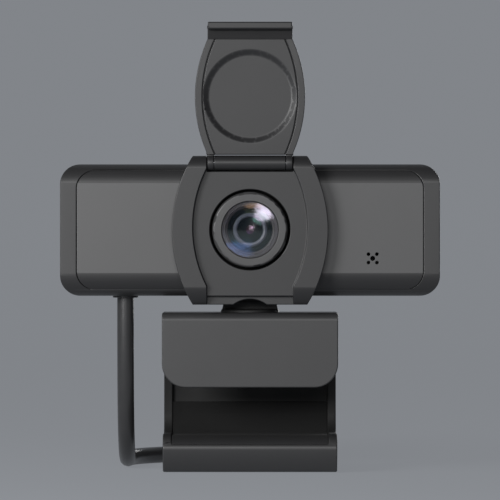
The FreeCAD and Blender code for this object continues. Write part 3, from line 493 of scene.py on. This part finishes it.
def make_tie():
    """A strap round the hank's waist: a pressed loop of band."""
    low, high = LOW["cord_tie"], HIGH["cord_tie"]
    bpy.ops.object.select_all(action="DESELECT")
    bpy.ops.mesh.primitive_cube_add(size=1, location=(low + high) / 2)
    strap = bpy.context.view_layer.objects.active
    strap.name = "hank_strap"
    strap.scale = high - low
    settle(strap)
    corners = strap.data.vertices
    pick(strap.data, "FACE", lambda face: abs(face.normal.y) > 0.9)
    bpy.ops.mesh.delete(type="FACE")
    bpy.ops.object.mode_set(mode="OBJECT")
    pick(strap.data, "EDGE", lambda edge: abs(corners[edge.vertices[0]].co.y
                                              - corners[edge.vertices[1]].co.y) > MM)
    bpy.ops.mesh.bevel(offset=TIE_CORNER, segments=6)
    bpy.ops.mesh.select_mode(type="VERT")
    bpy.ops.object.mode_set(mode="OBJECT")
    wall = strap.modifiers.new("wall", "SOLIDIFY")
    wall.thickness = TIE_WALL
    wall.offset = -1
    edge_round = strap.modifiers.new("edge_round", "BEVEL")
    edge_round.width = TIE_EDGE
    edge_round.segments = 2
    apply_all(strap)
    bpy.ops.object.shade_smooth_by_angle(angle=TIE_SHADE_OVER)
    give(strap, "tie")
    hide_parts("cord_tie")
    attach(strap, "neck")
    return strap


def lathe(name, profile, key, body, steps=96, close=False):
    """A shape turned about the lens axis. The profile is pairs of radius and Y."""
    bpy.ops.object.select_all(action="DESELECT")
    bpy.ops.mesh.primitive_plane_add(size=1 * MM)
    obj = bpy.context.view_layer.objects.active
    obj.name = name
    bpy.ops.object.mode_set(mode="EDIT")
    bpy.ops.mesh.select_all(action="SELECT")
    bpy.ops.mesh.delete(type="VERT")
    bpy.ops.object.mode_set(mode="OBJECT")
    mesh = obj.data
    ring = list(range(len(profile)))
    edges = [(a, a + 1) for a in ring[:-1]]
    if close:
        edges.append((ring[-1], ring[0]))
    mesh.from_pydata([(LENS_X + r, y, LENS_Z) for r, y in profile], edges, [])
    bpy.ops.object.mode_set(mode="EDIT")
    bpy.ops.mesh.select_all(action="SELECT")
    bpy.ops.mesh.spin(steps=steps, angle=2 * math.pi, center=(LENS_X, 0, LENS_Z), axis=(0, 1, 0))
    bpy.ops.mesh.select_all(action="SELECT")
    bpy.ops.mesh.remove_doubles(threshold=SEAM_JOIN)
    bpy.ops.mesh.normals_make_consistent(inside=False)
    bpy.ops.object.mode_set(mode="OBJECT")
    bpy.ops.object.shade_smooth_by_angle(angle=LATHE_SHADE_OVER)
    give(obj, key)
    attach(obj, body)
    return obj


def dome(radius, bulge, front_y, back_y, count=14):
    """Profile of a round element: a dome from its apex out to its rim, then its flat back."""
    sphere = (radius ** 2 + bulge ** 2) / (2 * bulge)
    points = []
    for step in range(count + 1):
        r = radius * step / count
        points.append((r, front_y + sphere - math.sqrt(sphere ** 2 - r ** 2)))
    return points + [(radius, back_y), (0.0, back_y)]


def meniscus(radius, bulge, hollow, front_y, back_y, count=20):
    """Profile of a lens with a domed front and a back hollowed nearly as much."""
    points = dome(radius, bulge, front_y, back_y, count)[:-1]
    for step in range(count - 1, -1, -1):
        share = step / count
        points.append((radius * share, back_y - hollow * (1 - share ** 2)))
    return points


# The front glass, and the stepped black tube, coated elements and iris ring behind it. Radii and
# depths are pairs in millimetres, and the depths count from the seat just behind the glass.
GLASS_R = 7.02 * MM
GLASS_BULGE = 0.95 * MM
GLASS_HOLLOW = 0.76 * MM
GLASS_THINNEST = 0.5 * MM
GLASS_SHORT = 0.05 * MM
SEAT_GAP = 0.02 * MM
TUBE_STEPS = [(6.95, 0.0), (6.1, 0.1), (6.0, 0.5), (5.6, 0.6), (5.5, 1.1), (4.9, 1.2), (4.8, 1.9),
              (6.95, 2.0)]
IRIS_STEPS = [(4.15, 0.35), (3.75, 0.05), (3.35, 0.15), (3.10, 0.50), (4.15, 0.50)]
# An element is its radius, bulge, apex and back, in millimetres.
SECOND_ELEMENT = (5.5, 0.9, 0.15, 1.4)
PUPIL_ELEMENT = (3.1, 0.8, 0.10, 0.95)
# A black ring of painted shade fills the gap round the lens ring.
SHADE_RING_INNER = 9.5 * MM
SHADE_RING_OUTER = 10.02 * MM
SHADE_RING_DEEP = 3.2 * MM
SHADE_RING_THICK = 0.8 * MM


def behind(seat, steps):
    return [(radius * MM, seat + depth * MM) for radius, depth in steps]


def element(name, seat, sizes, key):
    radius, bulge, apex, back = (size * MM for size in sizes)
    lathe(name, dome(radius, bulge, seat + apex, seat + back), key, "head")


def make_optics():
    front = GLASS_FRONT_Y
    glass_back = HIGH["front_glass"].y
    hollow = min(GLASS_HOLLOW, glass_back - front - GLASS_THINNEST)
    profile = meniscus(GLASS_R, GLASS_BULGE, hollow, front, glass_back - GLASS_SHORT)
    glass = lathe("front_glass_dome", profile, "glass", "head")
    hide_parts("front_glass")
    seat = glass_back + SEAT_GAP
    lathe("stepped_baffle", behind(seat, TUBE_STEPS), "barrel", "head", close=True)
    element("second_element", seat, SECOND_ELEMENT, "coat_green")
    lathe("iris_ring", behind(seat, IRIS_STEPS), "iris", "head", close=True)
    element("pupil_element", seat, PUPIL_ELEMENT, "coat_violet")
    glass.visible_shadow = False


# Painted shade: a black ring set down in the gap round the lens ring.
def make_gap_shade_ring():
    y0 = LOW["cover_frame"].y + SHADE_RING_DEEP
    y1 = y0 + SHADE_RING_THICK
    lathe("gap_liner", [(SHADE_RING_INNER, y0), (SHADE_RING_OUTER, y0), (SHADE_RING_OUTER, y1),
                        (SHADE_RING_INNER, y1)], "gap_shade", "head", close=True)


# ---------------------------------------------------------------- shells
# Each shell: node, body, material slot, finish and the width of its rounded edges in millimetres.
SHELLS = [
    ("rear_housing", "head", "housing_plastic", "housing", 0.25),
    ("front_plate", "head", "front_gloss", "face", 0.12),
    ("cover_frame", "head", "cover_plastic", "cover", 0.22),
    ("lens_ring", "head", "ring_satin", "ring", 0.12),
    ("strain_relief", "head", "cord_jacket", "jacket", 0.15),
    ("privacy_lid", "lid", "cover_plastic", "lid", 0.2),
    ("neck_post", "neck", "clip_plastic", "neck", 0.2),
    ("clip_bracket", "clip", "clip_plastic", "clip", 0.3),
    ("jaw_pad", "clip", "pad_rubber", "pad", 0.25),
    ("clip_leg", "leg", "clip_plastic", "leg", 0.35),
    ("leg_pad", "leg", "pad_rubber", "pad", 0.2),
    ("tripod_insert", "leg", "brass", "brass", 0.12),
    ("housing_screws", "head", "steel", "steel", 0.08),
    ("plug_overmould", "neck", "cord_jacket", "jacket", 0.4),
    ("plug_shell", "neck", "steel", "steel", 0.08),
    ("plug_tongue", "neck", "tongue_plastic", "tongue", 0.08),
]
# Pieces that hardly show keep their CAD shape and only get a finish.
INNER = {
    "lens_barrel": "barrel", "aperture_stop": "barrel", "lens_holder": "barrel",
    "inner_lens": "coat_violet", "ir_filter": "filter", "image_sensor": "chip",
    "microphone": "chip", "cable_connector": "chip", "main_board": "board",
    "board_screws": "steel", "lid_hinge_pins": "steel", "tilt_pin": "steel",
    "tilt_washers": "steel", "pan_screw": "steel", "pan_washer": "steel",
    "leg_hinge_pin": "steel", "mic_gasket": "pad", "plug_contacts": "gold",
}
for node_name, body, slot, key, width in SHELLS:
    soften(node_name, body, key, width * MM)
for node_name, key in INNER.items():
    give(nodes[node_name], key)

make_optics()
make_gap_shade_ring()
tie = make_tie()
cord, cord_path = make_cord()


# ---------------------------------------------------------------- studio
PAPER_TONE = (0.07, 0.073, 0.078)
PAPER_GLOW = (0.211, 0.222, 0.240, 1.0)
PAPER_WIDE, PAPER_NEAR, PAPER_FAR, PAPER_HIGH, PAPER_SWEEP = 6.0, -4.0, 2.2, 3.0, 0.8
PAPER_BELOW = 0.2 * MM
SWEEP_STEPS = 12


def make_stage():
    """A pale floor that sweeps up into the wall behind."""
    start = PAPER_FAR - PAPER_SWEEP
    profile = [(PAPER_NEAR, 0.0), (start, 0.0)]
    for step in range(1, SWEEP_STEPS + 1):
        turn = math.pi / 2 * step / SWEEP_STEPS
        profile.append((start + PAPER_SWEEP * math.sin(turn),
                        PAPER_SWEEP - PAPER_SWEEP * math.cos(turn)))
    profile.append((PAPER_FAR, PAPER_HIGH))
    rows = len(profile)
    mesh = bpy.data.meshes.new("studio_sweep")
    points = [(x, y, z - PAPER_BELOW) for x in (-PAPER_WIDE / 2, PAPER_WIDE / 2)
              for y, z in profile]
    faces = [(a, a + rows, a + rows + 1, a + 1) for a in range(rows - 1)]
    mesh.from_pydata(points, [], faces)
    sweep = bpy.data.objects.new("studio_sweep", mesh)
    bpy.context.collection.objects.link(sweep)
    only(sweep)
    bpy.ops.object.shade_smooth()
    paper = Finish("studio_paper", roughness=1.0)
    paper.set("Base Color", PAPER_TONE)
    paper.set("Specular IOR Level", 0.0)
    paper.set("Emission Color", PAPER_GLOW)
    paper.set("Emission Strength", 1.0)
    sweep.data.materials.append(paper.material)
    return sweep


def add_light(name, place, aim, size, power, tint, shape, group):
    data = bpy.data.lights.new(name, "AREA")
    data.shape = shape
    data.size, data.size_y = size
    data.energy = power
    data.color = tint
    lamp = bpy.data.objects.new(name, data)
    bpy.context.collection.objects.link(lamp)
    lamp.location = place
    lamp.rotation_euler = (Vector(aim) - Vector(place)).to_track_quat("-Z", "Y").to_euler()
    lamp.light_linking.receiver_collection = group


def light_group(name, pieces, state):
    """A receiver list for a light: only these pieces, or all but these."""
    group = bpy.data.collections.new(name)
    for piece in pieces:
        group.objects.link(piece)
    for entry in group.collection_objects:
        entry.light_linking.link_state = state
    return group


stage = make_stage()
SUBJECT = (0.0, 0.0, VIEW_HEIGHT)
optics = [bpy.data.objects[name]
          for name in ("front_glass_dome", "second_element", "pupil_element")]
not_optics = light_group("not_optics", optics, "EXCLUDE")
not_stage = light_group("not_stage", [stage] + optics, "EXCLUDE")
only_dome = light_group("only_dome", optics[:1], "INCLUDE")
only_elements = light_group("only_elements", optics[1:], "INCLUDE")
only_optics = light_group("only_optics", optics, "INCLUDE")
WHITE = (1.0, 1.0, 1.0)
AIR_TONE = (0.10, 0.10, 0.11, 1.0)
AIR_STRENGTH = 0.3
# Each light: name, place, width and height, power in watts, tint and what it lights.
SOFTBOXES = [
    ("front_softbox", (-0.12, -2.05, 0.50), (0.95, 0.42), 11.0, WHITE, not_optics),
    ("left_key", (-0.30, -0.42, 0.17), (0.20, 0.16), 2.1, WHITE, not_optics),
    ("upper_left", (-0.90, -0.42, 0.42), (0.5, 0.5), 2.0, WHITE, not_optics),
    ("back_softbox", (0.50, 1.25, 0.24), (0.6, 0.3), 3.6, WHITE, not_stage),
]
LENS_LIGHTS = [
    ("lens_window", (0.30, -1.20, 0.41), (0.40, 0.28), 2.5, (0.88, 0.80, 1.0), only_dome),
    ("lens_amber", (0.04, -0.50, 0.31), (0.20, 0.05), 0.06, (1.0, 0.62, 0.34), only_dome),
    ("lens_leaf", (0.38, -0.75, 0.42), (0.30, 0.20), 1.5, (0.35, 1.0, 0.55), only_elements),
    ("lens_fill", (-0.042, -0.150, 0.012), (0.10, 0.022), 0.012, (0.25, 0.42, 1.0), only_optics),
    ("lens_glint", (0.02, -0.80, 0.09), (0.022, 0.014), 0.03, (1.0, 0.84, 0.94), only_dome),
]
for aim, shape, rows in ((SUBJECT, "RECTANGLE", SOFTBOXES), (LENS, "ELLIPSE", LENS_LIGHTS)):
    for light_name, place, size, power, tint, group in rows:
        add_light(light_name, place, aim, size, power, tint, shape, group)

world = bpy.data.worlds.new("studio_air")
bpy.context.scene.world = world
world.use_nodes = True
air = world.node_tree.nodes["Background"].inputs
air["Color"].default_value = AIR_TONE
air["Strength"].default_value = AIR_STRENGTH
bpy.context.scene.view_settings.view_transform = "Standard"
